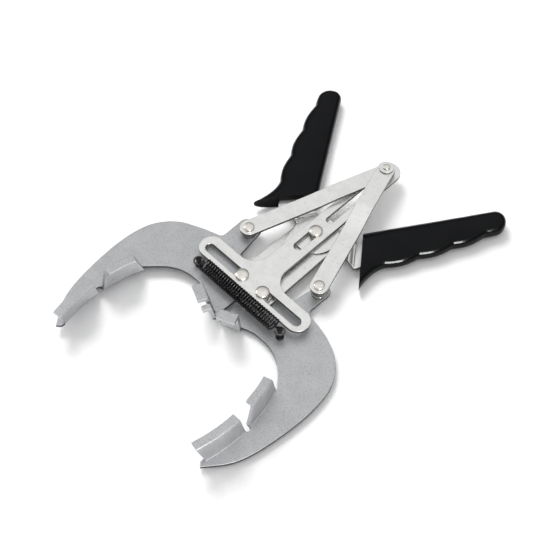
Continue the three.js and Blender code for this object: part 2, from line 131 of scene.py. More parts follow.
def inset(loop, distance):
    """The loop moved towards its left-hand side: each point goes along the mean of its two edges'
    normals, stretched so that both edges move by the distance."""
    ahead = np.roll(loop, -1, axis=0) - loop
    ahead /= np.linalg.norm(ahead, axis=1)[:, None]
    behind = np.roll(ahead, 1, axis=0)
    left = np.column_stack([-(ahead + behind)[:, 1], (ahead + behind)[:, 0]])
    stretch = np.maximum(1 + (ahead * behind).sum(axis=1), SHARPEST_CORNER)
    return loop + distance * left / stretch[:, None]


def inside(points, loops):
    """Whether each point is in the material: a ray from it to the right crosses the loops an odd
    number of times."""
    odd = np.zeros(len(points), bool)
    for loop in loops:
        a, b = loop[:, None], np.roll(loop, -1, axis=0)[:, None]
        straddles = (a[..., 1] > points[:, 1]) != (b[..., 1] > points[:, 1])
        rise = np.where(straddles, b[..., 1] - a[..., 1], 1.0)
        x = a[..., 0] + (points[:, 1] - a[..., 1]) / rise * (b[..., 0] - a[..., 0])
        odd ^= (straddles & (x > points[:, 0])).sum(axis=0) % 2 == 1
    return odd


INSIDE = 1  # the triangulation's setting that leaves out all that lies beyond the outer loop
MERGE_GAP = 1e-6


def fill(loops, chords=()):
    """Triangles over the area between closed loops, keeping the chords as edges. Corner numbers
    count the loops' points one after the other."""
    points = np.vstack(loops)
    edges = []
    first = 0
    for loop in loops:
        ring = np.arange(first, first + len(loop))
        edges += list(zip(ring.tolist(), np.roll(ring, -1).tolist()))
        first += len(loop)
    edges += [(int(a), int(b)) for a, b in chords]
    made = delaunay_2d_cdt([Vector(p) for p in points], edges, [], INSIDE, MERGE_GAP)
    source = np.array([ids[0] if ids else -1 for ids in made[3]])
    triangles = source[np.array(made[2])]
    triangles = triangles[(triangles >= 0).all(axis=1)]
    return triangles[inside(points[triangles].mean(axis=1), loops)]


def quads(rows, columns):
    """Faces of a grid of points numbered row by row, its last column joined to its first."""
    index = np.arange(rows * columns).reshape(rows, columns)
    index = np.column_stack([index, index[:, :1]])
    corners = index[:-1, :-1], index[:-1, 1:], index[1:, 1:], index[1:, :-1]
    return np.stack(corners, axis=-1).reshape(-1, 4)


def volume(vertices, faces):
    """Signed volume of a closed shell: the sum of a . (b x c) / 6 over its triangles."""
    total = 0.0
    for group in faces:
        corners = vertices[group]
        for k in range(1, group.shape[1] - 1):
            a, b, c = corners[:, 0], corners[:, k], corners[:, k + 1]
            total += np.einsum("ij,ij->", a, np.cross(b, c)) / 6
    return total


def end_fans(rings, sides):
    """Triangles that close a tube of rings at both ends. The corner after the last ring is the
    middle of the first end, and the one after that the middle of the other."""
    first = np.arange(sides)
    count = rings * sides
    last = first + count - sides
    return np.vstack([
        np.column_stack([np.roll(first, -1), first, np.full(sides, count)]),
        np.column_stack([last, np.roll(last, -1), np.full(sides, count + 1)]),
    ])


def shell(vertices, *faces):
    """A closed surface with its faces turned outwards."""
    faces = [group for group in faces if len(group)]
    if volume(vertices, faces) < 0:
        faces = [group[:, ::-1] for group in faces]
    return vertices, faces


def mirrored(shells):
    """The same shells on the other side of the tool's axis: x becomes -x."""
    flip = np.array([-1.0, 1.0, 1.0])
    return [(vertices * flip, [group[:, ::-1] for group in faces]) for vertices, faces in shells]


RIM_STEPS = 4
SUPPORT = 0.25  # width of the narrow flat band that holds the shading beside a rounded edge


def rim_profile(thickness, edge):
    """Rounded sheet edge as (distance in from the outline, height): a quarter circle of the edge
    radius, the straight wall, and a quarter circle again."""
    a = np.linspace(0, math.pi / 2, RIM_STEPS + 1)
    low = edge * np.column_stack([1 - np.sin(a), 1 - np.cos(a)])
    high = low[::-1] * [1, -1] + [0, thickness]
    return np.vstack([[edge + SUPPORT, 0], low, high, [edge + SUPPORT, thickness]])


def crossed(loop, direction, distances):
    """The loop with a point put in wherever it crosses a fold line, where point . direction is
    one of the distances."""
    for distance in distances:
        side = loop @ direction - distance
        after = np.roll(side, -1)
        clear = (np.abs(side) > MERGE_GAP) & (np.abs(after) > MERGE_GAP)
        at = np.flatnonzero((side * after < 0) & clear)
        share = (side[at] / (side[at] - after[at]))[:, None]
        new = loop[at] + share * (np.roll(loop, -1, axis=0)[at] - loop[at])
        loop = np.insert(loop, at + 1, new, axis=0)
    return loop


def fold_chords(loops, direction, distances):
    """Pairs of loop points that face each other along each fold line."""
    points = np.vstack(loops)
    along = np.array([-direction[1], direction[0]])
    pairs = []
    for distance in distances:
        on_line = np.flatnonzero(np.abs(points @ direction - distance) < SAME_PLACE)
        on_line = on_line[np.argsort(points[on_line] @ along)]
        pairs += list(zip(on_line[0::2], on_line[1::2]))
    return pairs


STEP_FOLDS = 9
STEP_MARGIN = 0.5


def sheet_metal(outline, holes, low, thickness, edge=0.3, step=None):
    """A flat or stepped sheet: the rounded edge profile carried round every outline, closed by
    filled faces. step is (direction, start, end, rise): the height grows by
    rise * (3t^2 - 2t^3), t going from 0 to 1 between the two distances along the direction, and
    the faces have edges along the step's fold lines."""
    loops = [tidied(outline)] + [tidied(hole[::-1]) for hole in holes]
    chords = []
    if step:
        direction, start, end, rise = step
        folds = np.linspace(start, end, STEP_FOLDS)
        folds = np.r_[start - STEP_MARGIN, folds, end + STEP_MARGIN]
        loops = [crossed(loop, direction, folds) for loop in loops]
        chords = fold_chords(loops, direction, folds)
    profile = rim_profile(thickness, edge)
    vertices, faces, lower, upper = [], [], [], []
    first = 0
    for loop in loops:
        rows = np.stack([inset(loop, distance) for distance in profile[:, 0]])
        heights = np.repeat(profile[:, 1], len(loop))
        vertices.append(np.column_stack([rows.reshape(-1, 2), heights]))
        faces.append(quads(len(profile), len(loop)) + first)
        lower.append(np.arange(len(loop)) + first)
        upper.append(lower[-1] + (len(profile) - 1) * len(loop))
        first += rows.shape[0] * rows.shape[1]
    vertices = np.vstack(vertices)
    flat = fill([inset(loop, edge + SUPPORT) for loop in loops], chords)
    faces = [np.vstack(faces), np.concatenate(upper)[flat], np.concatenate(lower)[flat][:, ::-1]]
    vertices[:, 2] += low
    if step:
        t = np.clip((vertices[:, :2] @ direction - start) / (end - start), 0, 1)
        vertices[:, 2] += rise * t * t * (3 - 2 * t)
    return shell(vertices, *faces)


def turned(profile, centre, steps=56):
    """A profile of (radius, height) points turned about an upright line through the centre:
    (r cos a, r sin a, z). Its first and last points are the poles."""
    profile = np.asarray(profile, float)
    a = np.linspace(0, FULL_TURN, steps, endpoint=False)
    r, z = profile[1:-1, 0, None], profile[1:-1, 1, None]
    rings = np.stack([r * np.cos(a), r * np.sin(a), z + 0 * a], axis=-1).reshape(-1, 3)
    poles = np.array([[0, 0, profile[0, 1]], [0, 0, profile[-1, 1]]])
    vertices = np.vstack([rings, poles]) + [*centre, 0]
    count = len(profile) - 2
    return shell(vertices, quads(count, steps), end_fans(count, steps))


SCOOP_FOOT = 0.2  # share of a flange's height that a scoop leaves alone


def swept(section, path, edge, trim=None, scoop=(0.0, 0.0)):
    """A closed section of (distance to the left, height) points carried along a flat path:
    vertex = path point + distance * left normal, at that height. Over the last stretch at either
    end the section closes in along a quarter circle of the edge radius. scoop takes the first and
    last end back by that much at the top, growing with the square root of the height; a negative
    amount takes the foot back instead."""
    length = np.r_[0, np.cumsum(np.linalg.norm(np.diff(path, axis=0), axis=1))]
    a = np.linspace(0, math.pi / 2, RIM_STEPS + 1)
    ends = np.r_[0, edge * (1 - np.cos(a))]
    shrink = np.r_[edge + SUPPORT, edge * (1 - np.sin(a))]
    margin = 1.5 * edge
    inner = length[(length > margin) & (length < length[-1] - margin)]
    at = np.r_[ends, inner, length[-1] - ends[::-1]]
    close = np.r_[shrink, np.zeros(len(inner)), shrink[::-1]]
    rings = np.stack([inset(section, distance) for distance in close])
    rise = (section[:, 1] - section[:, 1].min()) / np.ptp(section[:, 1])
    taken = np.sqrt(np.clip((rise - SCOOP_FOOT) / (1 - SCOOP_FOOT), 0, 1))
    first, last = (cut * taken if cut > 0 else cut * (taken - 1) for cut in scoop)
    at = first + at[:, None] * (1 - (first + last) / length[-1])
    place = np.stack([np.interp(at, length, path[:, k]) for k in range(2)], axis=-1)
    slope = np.gradient(path, length, axis=0)
    slope = np.stack([np.interp(at, length, slope[:, k]) for k in range(2)], axis=-1)
    slope /= np.linalg.norm(slope, axis=-1)[..., None]
    left = np.stack([-slope[..., 1], slope[..., 0]], axis=-1)
    flat = place + rings[..., :1] * left
    vertices = np.concatenate([flat, rings[..., 1:]], axis=-1).reshape(-1, 3)
    if trim is not None:
        vertices = trim(vertices)
    cap = fill([inset(section, edge + SUPPORT)])
    last = (len(at) - 1) * len(section)
    return shell(vertices, quads(len(at), len(section)), cap[:, ::-1], cap + last)


def wire_rings(path, side, up, radius, sides):
    """The wire's surface: path + radius * (cos a * side + sin a * up), closed by flat ends."""
    a = np.linspace(0, FULL_TURN, sides, endpoint=False)[None, :, None]
    rings = path[:, None] + radius * (np.cos(a) * side[:, None] + np.sin(a) * up[:, None])
    vertices = np.vstack([rings.reshape(-1, 3), path[:1], path[-1:]])
    return shell(vertices, quads(len(path), sides), end_fans(len(path), sides))


SHEET_SHARP = 38.0
GRIP_SHARP = 50.0
SPRING_SHARP = 60.0
LEVEL = 0.99999  # a face whose normal rises this far is level
UPRIGHT = 0.3  # and one whose normal rises less than this is upright


def piece(name, shells, material, nodes, body=None, sharp=SHEET_SHARP, rim=None,
          rim_top=math.inf):
    """One object from one or more closed shells, standing for the CAD nodes. Faces shade smoothly
    across edges flatter than the sharp angle, in degrees. Level faces stay flat, save on the
    spring's wire. Upright faces below rim_top, in millimetres, take the rim material, whose
    darker colour is painted shade along the lower edges and sides."""
    mesh = bpy.data.meshes.new(name)
    faces = []
    first = 0
    for vertices, groups in shells:
        for group in groups:
            faces += (group + first).tolist()
        first += len(vertices)
    vertices = np.vstack([vertices for vertices, _ in shells])
    mesh.from_pydata(((vertices + [*PIVOT, 0]) * MM).tolist(), [], faces)
    facing = np.empty(len(faces) * 3)
    mesh.polygons.foreach_get("normal", facing)
    rise = np.abs(facing.reshape(-1, 3)[:, 2])
    mesh.set_sharp_from_angle(angle=math.radians(sharp))
    mesh.polygons.foreach_set("use_smooth", (rise < LEVEL) | (sharp >= SPRING_SHARP))
    mesh.materials.append(material)
    # The rim material on low upright faces is painted shade: a darker edge colour in place of shadow
    # and dark reflection.
    if rim:
        centres = np.empty(len(faces) * 3)
        mesh.polygons.foreach_get("center", centres)
        upright = (rise < UPRIGHT) & (centres.reshape(-1, 3)[:, 2] < rim_top * MM)
        mesh.materials.append(rim)
        mesh.polygons.foreach_set("material_index", upright.astype(np.int32))
    made = bpy.data.objects.new(name, mesh)
    bpy.context.scene.collection.objects.link(made)
    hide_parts(*nodes)
    if body:
        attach(made, body)
    return made


# ---- materials ---------------------------------------------------------------------------------
def linear(hex_colour):
    """An sRGB hex colour as linear RGBA."""
    value = np.array([int(hex_colour[k : k + 2], 16) for k in (1, 3, 5)]) / 255
    value = np.where(value <= 0.04045, value / 12.92, ((value + 0.055) / 1.055) ** 2.4)
    return (*value.tolist(), 1.0)


def add(tree, kind, settings=(), links=()):
    """One shader node. settings holds socket values or node attributes; links maps its input
    sockets to other nodes' outputs."""
    node = tree.nodes.new(kind)
    for key, value in dict(settings).items():
        if key in node.inputs:
            node.inputs[key].default_value = value
        else:
            setattr(node, key, value)
    for key, output in dict(links).items():
        tree.links.new(output, node.inputs[key])
    return node


def ramp(tree, factor, stops):
    """A colour ramp over a factor: stops are (position, colour) with linear RGBA colours."""
    node = add(tree, "ShaderNodeValToRGB", {}, {"Fac": factor})
    elements = node.color_ramp.elements
    elements[0].position, elements[0].color = stops[0]
    elements[1].position, elements[1].color = stops[-1]
    for position, colour in stops[1:-1]:
        elements.new(position).color = colour
    return node.outputs["Color"]


def material(name, **constants):
    """A new node material: its tree, its surface shader with constant values set, and Object
    coordinates in metres."""
    made = bpy.data.materials.new(name)
    made.use_nodes = True
    tree = made.node_tree
    surface = tree.nodes["Principled BSDF"]
    for key, value in constants.items():
        surface.inputs[key.replace("_", " ")].default_value = value
    place = add(tree, "ShaderNodeTexCoord").outputs["Object"]
    return made, tree, surface, place


def noise(tree, place, size_mm, detail=3.0, roughness=0.55, stretch=None):
    """Cloudy noise whose features are about size_mm across; stretch scales the axes first."""
    if stretch:
        place = add(
            tree, "ShaderNodeMapping", {"Scale": stretch}, {"Vector": place}
        ).outputs["Vector"]
    settings = {"Scale": 1 / (size_mm * MM), "Detail": detail, "Roughness": roughness}
    return add(tree, "ShaderNodeTexNoise", settings, {"Vector": place}).outputs["Fac"]


def grade(tree, factor, low, high, to_low, to_high):
    """Maps a range of a factor to another range."""
    settings = {"From Min": low, "From Max": high, "To Min": to_low, "To Max": to_high}
    return add(tree, "ShaderNodeMapRange", settings, {"Value": factor}).outputs["Result"]


def multiplied(tree, base, over):
    """Two colours multiplied together. A Mix node has several sockets of each name, so its
    colour sockets are found by number."""
    mixed = add(tree, "ShaderNodeMix", {"data_type": "RGBA", "blend_type": "MULTIPLY"})
    mixed.inputs[0].default_value = 1.0
    tree.links.new(base, mixed.inputs[6])
    tree.links.new(over, mixed.inputs[7])
    return mixed.outputs[2]


def blasted_steel():
    """Carbon steel sheet, bead-blasted and tumbled: a matte mid grey with fine dark pits and a
    faint cloudiness from uneven blasting. Real pits are near 0.1 mm; they're drawn at 0.6 mm so
    that they show."""
    made, tree, surface, place = material("bead_blasted_steel", Metallic=1.0)
    grit = noise(tree, place, 0.6, 2.0)
    clouds = noise(tree, place, 9.0, 3.0)
    pits = ramp(tree, grit, [(0.27, linear("#66686A")), (0.38, linear("#C5C6C7")),
                             (1.0, linear("#D7D8D9"))])
    tone = ramp(tree, clouds, [(0.3, linear("#F2F2F3")), (0.7, linear("#FFFFFF"))])
    tree.links.new(multiplied(tree, pits, tone), surface.inputs["Base Color"])
    tree.links.new(grade(tree, grit, 0.3, 0.7, 0.52, 0.40), surface.inputs["Roughness"])
    bump = add(tree, "ShaderNodeBump", {"Strength": 0.35, "Distance": 0.00006}, {"Height": grit})
    tree.links.new(bump.outputs["Normal"], surface.inputs["Normal"])
    return made


def zinc_plate(name, direction):
    """Rolled steel with bright satin zinc plating: near-white grey, cloudy at a few millimetres,
    with small dull spots and faint rolling lines along the sheet. direction turns the lines, in
    degrees."""
    made, tree, surface, place = material(name, Metallic=1.0)
    turn = add(tree, "ShaderNodeMapping", {"Rotation": (0, 0, math.radians(direction))},
               {"Vector": place}).outputs["Vector"]
    clouds = noise(tree, place, 6.0, 4.0, 0.6)
    lines = noise(tree, turn, 0.5, 2.0, 0.5, (1.0, 0.05, 1.0))
    spots = noise(tree, place, 1.3, 2.0)
    tint = ramp(tree, clouds, [(0.32, linear("#E4E4E2")), (0.55, linear("#EDEDEB")),
                               (0.75, linear("#F4F4F2"))])
    marks = ramp(tree, spots, [(0.24, linear("#C9C8C4")), (0.34, linear("#FFFFFF"))])
    tree.links.new(multiplied(tree, tint, marks), surface.inputs["Base Color"])
    tree.links.new(grade(tree, clouds, 0.3, 0.7, 0.27, 0.38), surface.inputs["Roughness"])
    bump = add(tree, "ShaderNodeBump", {"Strength": 0.18, "Distance": 0.00005}, {"Height": lines})
    tree.links.new(bump.outputs["Normal"], surface.inputs["Normal"])
    return made


def bright_nickel():
    """Nickel-plated steel, polished by the rivet set: warm white metal, glossy, a little uneven."""
    made, tree, surface, place = material("bright_nickel_plate", Metallic=1.0)
    clouds = noise(tree, place, 1.8, 2.0)
    tint = ramp(tree, clouds, [(0.3, linear("#DDD8D0")), (0.7, linear("#F0EDE8"))])
    tree.links.new(tint, surface.inputs["Base Color"])
    tree.links.new(grade(tree, clouds, 0.3, 0.7, 0.24, 0.36), surface.inputs["Roughness"])
    bump = add(tree, "ShaderNodeBump", {"Strength": 0.06, "Distance": 0.0002}, {"Height": clouds})
    tree.links.new(bump.outputs["Normal"], surface.inputs["Normal"])
    return made


def dipped_vinyl():
    """Plastisol dip coating: deep blue-black, glossy, with the slow waviness of a dipped film."""
    made, tree, surface, place = material("dipped_vinyl", Specular_IOR_Level=0.12)
    wave = noise(tree, place, 14.0, 2.0, 0.4)
    fine = noise(tree, place, 1.1, 2.0, 0.5)
    tint = ramp(tree, wave, [(0.3, linear("#050608")), (0.7, linear("#090A0C"))])
    tree.links.new(tint, surface.inputs["Base Color"])
    tree.links.new(grade(tree, fine, 0.3, 0.7, 0.13, 0.19), surface.inputs["Roughness"])
    slow = add(tree, "ShaderNodeBump", {"Strength": 0.12, "Distance": 0.0006}, {"Height": wave})
    peel = add(tree, "ShaderNodeBump", {"Strength": 0.05, "Distance": 0.00005},
               {"Height": fine, "Normal": slow.outputs["Normal"]})
    tree.links.new(peel.outputs["Normal"], surface.inputs["Normal"])
    return made


def black_oxide():
    """Black oxide on spring wire under a film of oil: near-black, and the oil gives it small sharp
    glints. The oxide hides the metal, so it isn't a metallic surface."""
    made, tree, surface, place = material("black_oxide_wire", Specular_IOR_Level=0.22)
    grain = noise(tree, place, 0.6, 3.0)
    tint = ramp(tree, grain, [(0.35, linear("#050506")), (0.65, linear("#0C0C0D"))])
    tree.links.new(tint, surface.inputs["Base Color"])
    tree.links.new(grade(tree, grain, 0.3, 0.7, 0.14, 0.24), surface.inputs["Roughness"])
    return made


def edge_with_painted_shade(name, shade):
    """The cut edge of a steel sheet: rougher than the face, as a cut edge is, and darker, in patches.
    The darkness is painted shade, standing in for the shadow and dark reflections along lower edges
    and sides.
    """
    made, tree, surface, place = material(name, Metallic=0.9)
    scores = noise(tree, place, 0.5, 2.0)
    dark = [0.7 * channel for channel in linear(shade)[:3]]
    tint = ramp(tree, scores, [(0.35, (*dark, 1.0)), (0.65, linear(shade))])
    tree.links.new(tint, surface.inputs["Base Color"])
    tree.links.new(grade(tree, scores, 0.3, 0.7, 0.42, 0.55), surface.inputs["Roughness"])
    return made


def studio_floor():
    """Seamless white paper: matte, with a trace of fibre in its tone."""
    made, tree, surface, place = material("seamless_paper", Roughness=0.9)
    fibre = noise(tree, place, 2.0, 2.0)
    tint = ramp(tree, fibre, [(0.3, linear("#F8F8F8")), (0.7, linear("#FBFBFB"))])
    tree.links.new(tint, surface.inputs["Base Color"])
    return made


BLASTED = blasted_steel()
# Edge materials for the parts' sides: their darker colour is painted shade along lower edges and
# sides.
STEEL_EDGE_PAINTED_SHADE = edge_with_painted_shade("steel_edge_painted_shade", "#6A6B6D")
ZINC_EDGE_PAINTED_SHADE = edge_with_painted_shade("plated_edge_painted_shade", "#7E7E7B")
ZINC_GUIDE = zinc_plate("zinc_plate_guide", 0)
ZINC_LEFT = zinc_plate("zinc_plate_left", 18)
ZINC_RIGHT = zinc_plate("zinc_plate_right", -18)
NICKEL = bright_nickel()
VINYL = dipped_vinyl()
OXIDE = black_oxide()


# ---- guide plate -------------------------------------------------------------------------------
STEM_HALF = 7.8
BAR_HALF = box_mm("guide_plate")[1][0]
BAR_Y = -54.0
BAR_R = 8.0
SHOULDER_R = 12.0
BAR_SLOT_Y = -55.3
BAR_SLOT = (8.3, 37.4)
BAR_SLOT_R = 3.15
PIVOT_SLOT = (-15.5, 0.2)
PIVOT_SLOT_R = 3.0
APEX_SLOT = (12.7, APEX[1] + 0.1)
APEX_SLOT_R = 2.5
SHEET_EDGE = 0.35  # radius of the rolled-over edge on the thicker sheets
THIN_EDGE = 0.3


def slot_loop(start, end, radius):
    """A round-ended slot: half a circle round each end, joined by straight sides."""
    start, end = np.asarray(start, float), np.asarray(end, float)
    turn = math.degrees(math.atan2(*(end - start)[::-1]))
    return np.vstack([
        arc(start, radius, turn + 90, turn + 270, 16),
        arc(end, radius, turn - 90, turn + 90, 16),
    ])


def guide_plate():
    """T-shaped plate: round-ended crossbar and stem joined by concave shoulders, four slots."""
    end = BAR_HALF - BAR_R
    top = BAR_Y + BAR_R
    shoulder = STEM_HALF + SHOULDER_R
    crown = box_mm("guide_plate")[1][1] - PIVOT[1] - STEM_HALF
    outline = np.vstack([
        arc((end, BAR_Y), BAR_R, -90, 90, 20),
        arc((shoulder, top + SHOULDER_R), SHOULDER_R, 270, 180, 14),
        arc((0, crown), STEM_HALF, 0, 180, 24),
        arc((-shoulder, top + SHOULDER_R), SHOULDER_R, 0, -90, 14),
        arc((-end, BAR_Y), BAR_R, 90, 270, 20),
    ])
    near, far = BAR_SLOT
    slots = [
        slot_loop((near, BAR_SLOT_Y), (far, BAR_SLOT_Y), BAR_SLOT_R),
        slot_loop((-far, BAR_SLOT_Y), (-near, BAR_SLOT_Y), BAR_SLOT_R),
        slot_loop((0, PIVOT_SLOT[0]), (0, PIVOT_SLOT[1]), PIVOT_SLOT_R),
        slot_loop((0, APEX_SLOT[0]), (0, APEX_SLOT[1]), APEX_SLOT_R),
    ]
    plate = sheet_metal(outline, slots, GUIDE_LOW, SHEET, edge=SHEET_EDGE)
    piece("guide_plate_visual", [plate], ZINC_GUIDE, ["guide_plate"], "guide_body",
          rim=ZINC_EDGE_PAINTED_SHADE)


# ---- claws -------------------------------------------------------------------------------------
CLAW_BACK = [(56, -47.6), (70, -55.2), (80, -69.5), (83.1, -92), (80.3, -122), (74.6, -142)]
CLAW_TIP = (63.4, -157.4)
CLAW_TIP_ZONE = -90  # the claw's back beyond this y is where a lip can reach it
TRIM_GAP = 0.1
SLIDE_HOLE_R = 3.1
LINK_HOLE_R = 2.3
POST_HOLE_R = 1.6
LIP_BEND = 0.5  # inner radius of both folds
LIP_CREASE = 1.1  # outer radius of the upper fold, kept crisp
LIP_CORNER = 0.5
LIP_FOOT = 1.5
LIP_PROUD = 0.015  # the foot stands this far out of the sheet, so that no two faces coincide
LIP_EDGE = 0.3


def claw_outline(ear):
    """The right claw seen from above: ear, whose outer side is at x = ear, back of the claw, tip,
    ring side with its notch between the lips, beak and the rounded end at the slide pin. The
    points are written clockwise and handed back anticlockwise."""
    x, y = SLIDE_PIN
    reach = 7.5
    clockwise = np.vstack([
        [(23.0, -43.4)],
        bend((26.0, -24.0), (26.4, -20.4), (30.0, -20.4)),
        bend((ear - 4.6, -20.4), (ear, -21.2), (ear, -26.0)),
        bend((ear - 0.4, -39.2), (ear - 0.4, -42.8), (ear + 3.6, -43.5)),
        curve([(ear + 3.6, -43.5), *CLAW_BACK, CLAW_TIP])[1:],
        [(61.2, -155.4), (60.8, -152.6)],
        curve([(63.9, -151.0), (65.3, -145.5), (66.4, -133), (66.3, -124.3)]),
        arc((64.9, -122.5), 1.8, -90, 90, 12),
        curve([(65.9, -120.7), (65.0, -113), (62.9, -102.8), (59.4, -93.2)]),
        curve([(59.4, -93.2), (50.4, -83.6), (42.6, -78.3), (33.5, -75.7), (22.8, -75.7)])[1:],
        [(17.2, -77.3), (6.2, -81.9), (1.4, -84.0), (0.9, -74.4), (1.4, -58.0)],
        arc((x, y), reach, 180, 90, 12),
        bend((x, y + reach), (16.0, -47.6), (23.0, -43.4))[1:-1],
    ])
    return clockwise[::-1]


def flange_section(low, top, lean, lip):
    """Folded edge as (distance towards the ring, height): a foot in the claw's sheet, a bend, a
    wall that leans over by lean, a tighter bend and a flat lip with rounded corners."""
    outer = LIP_BEND + SHEET
    foot = -outer - LIP_FOOT
    edge = lean + lip - LIP_CORNER
    return np.vstack([
        [(foot, low - LIP_PROUD)],
        arc((-outer, low + outer - LIP_PROUD), outer, -90, 0, 8),
        arc((lean + LIP_BEND, top - SHEET - LIP_BEND), LIP_BEND, 180, 90, 6),
        arc((edge, top - SHEET + LIP_CORNER), LIP_CORNER, -90, 0, 4),
        arc((edge, top - LIP_CORNER), LIP_CORNER, 0, 90, 4),
        arc((lean - SHEET + LIP_CREASE, top - LIP_CREASE), LIP_CREASE, 90, 180, 8),
        arc((-outer, low + outer + LIP_PROUD), LIP_BEND, 0, -90, 6),
        [(foot, low + SHEET + LIP_PROUD)],
    ])


def trimmed_to_claw(vertices):
    """Keeps a flange inside the claw's outer edge: x is held under the edge's x at the same y."""
    edge = curve([(40, -43.5), *CLAW_BACK, CLAW_TIP], 24)
    edge = edge[edge[:, 1] < CLAW_TIP_ZONE][::-1]
    limit = np.interp(vertices[:, 1], edge[:, 1], edge[:, 0]) - TRIM_GAP
    beside = (vertices[:, 1] < CLAW_TIP_ZONE) & (vertices[:, 0] > limit)
    vertices[beside, 0] = limit[beside]
    return vertices


def claw(low, ear):
    """Claw sheet and its three folded lips, for the right side. The two lips by the notch are
    scooped back from it."""
    holes = [
        circle(SLIDE_PIN, SLIDE_HOLE_R),
        circle(LINK_PIN, LINK_HOLE_R),
        circle(POST, POST_HOLE_R, 24),
    ]
    section = flange_section(low, LIP_TOP, -0.4, 3.3)
    beak_section = flange_section(low, LIP_TOP, 2.4, 4.6)
    above = curve([(62.3, -120.7), (61.5, -114), (59.4, -103.8), (56.0, -93.9)])
    below = curve([(59.3, -157.0), (61.7, -145.5), (62.9, -133), (62.7, -124.3)])
    beak = np.linspace((15.6, -81.0), (4.8, -85.8), 12)
    lips = [
        swept(section, above, LIP_EDGE, trimmed_to_claw, (4.0, 4.8)),
        swept(section, below, LIP_EDGE, trimmed_to_claw, (-5.0, 3.6)),
        swept(beak_section, beak, LIP_EDGE),
    ]
    return [sheet_metal(claw_outline(ear), holes, low, SHEET, edge=SHEET_EDGE), *lips]


def claws():
    """Both claws; the left one has a wider ear, and a low tab beside its centre lip."""
    piece("right_claw_visual", claw(LAYER_C, 35.4), BLASTED, ["right_jaw"],
          "right_claw", rim=STEEL_EDGE_PAINTED_SHADE, rim_top=LAYER_C + SHEET)
    tab_section = flange_section(LAYER_B, GUIDE_TOP + 8.0, 1.6, 3.6)
    tab = swept(tab_section, np.linspace((4.4, -86.6), (0.9, -88.1), 8), LIP_EDGE)
    left = mirrored(claw(LAYER_B, 41.2) + [tab])
    piece("left_claw_visual", left, BLASTED, ["left_jaw"], "left_claw",
          rim=STEEL_EDGE_PAINTED_SHADE, rim_top=LAYER_B + SHEET)


# ---- handles and grips -------------------------------------------------------------------------
HUB_R = 15.4
ARM_END_R = 7.5
STEP_HEADING = np.array([0.78, 0.62]) / math.hypot(0.78, 0.62)
GRIP_CORNER = np.array([20.0, 22.1])
GRIP_ALONG = np.array([0.549, 0.836])
GRIP_ACROSS = np.array([0.836, -0.549])
GRIP_LENGTH = 91.0
GUARD = 12.4
GRIP_END_R = 6.2
BUMP_PITCH = 22.6
BUMP_START = 7.3
BUMP_HEIGHT = 1.7
BUMP_BLEND = 0.012  # rounds the hollow between two bumps
SQUARENESS = 0.76  # the grip's section: 1 is an ellipse, 0 a rectangle
GRIP_ROWS = 220
GRIP_SIDES = 72
END_SHARE = 0.07  # share of the rows' range that is drawn closer together at the rounded end
END_ROWS = 24
FULLY_CLOSED = 0.9995  # stops just short of the end circle's last point, so that no face is empty
END_THINNING = 0.72  # share of the thickness that the rounded end gives up


def grip_point(s, d):
    """A point s back along the grip's straight inner edge and d outwards from it."""
    s, d = np.asarray(s, float)[..., None], np.asarray(d, float)[..., None]
    return GRIP_CORNER + s * GRIP_ALONG + d * GRIP_ACROSS


def handle(low, tang_low, step_from, step_to, pivot_hole):
    """Lever sheet for the right side: arm to the slide pin, hub, neck and tang, with the step
    that brings the tang to the grip's height."""
    reach = math.hypot(*SLIDE_PIN)
    heading = math.degrees(math.atan2(SLIDE_PIN[1], SLIDE_PIN[0]))
    contact = math.degrees(math.acos((HUB_R - ARM_END_R) / reach))
    tang = grip_point([-9.2, 10, 40, 66, 68, 62, -2.2], [23.7, 18.5, 15.5, 12, 8, 5.2, 5.6])
    outline = np.vstack([
        arc(SLIDE_PIN, ARM_END_R, heading - contact, heading + contact, 24),
        bend((15.6, -3.4), (15.6, 0.2), (19.4, 0.6)),
        [(25.6, 0.5), (33.0, -0.4)],
        tang,
        bend((20.5, 15.6), (14.0, 13.4), (6.5, 13.96)),
        arc((0, 0), HUB_R, 65, heading - contact + 360, 30),
    ])
    step = (STEP_HEADING, step_from, step_to, tang_low - low)
    holes = [circle((0, 0), pivot_hole), circle(SLIDE_PIN, SLIDE_HOLE_R)]
    return sheet_metal(outline, holes, low, SHEET, edge=THIN_EDGE, step=step)


def grip_outer(s):
    """Distance of the grip's outer edge: a slow taper with half-sine finger bumps behind the
    first hollow, and a flare that grows with the square of the distance in front of it."""
    taper = 26.7 - 0.06 * s - 0.00105 * s**2
    ahead = np.maximum(BUMP_START - s, 0)
    phase = math.pi * np.maximum(s - BUMP_START, 0) / BUMP_PITCH
    bumps = BUMP_HEIGHT * (np.sqrt(np.sin(phase) ** 2 + BUMP_BLEND) - math.sqrt(BUMP_BLEND))
    return taper + bumps + 0.1 * ahead + 0.0255 * ahead**2


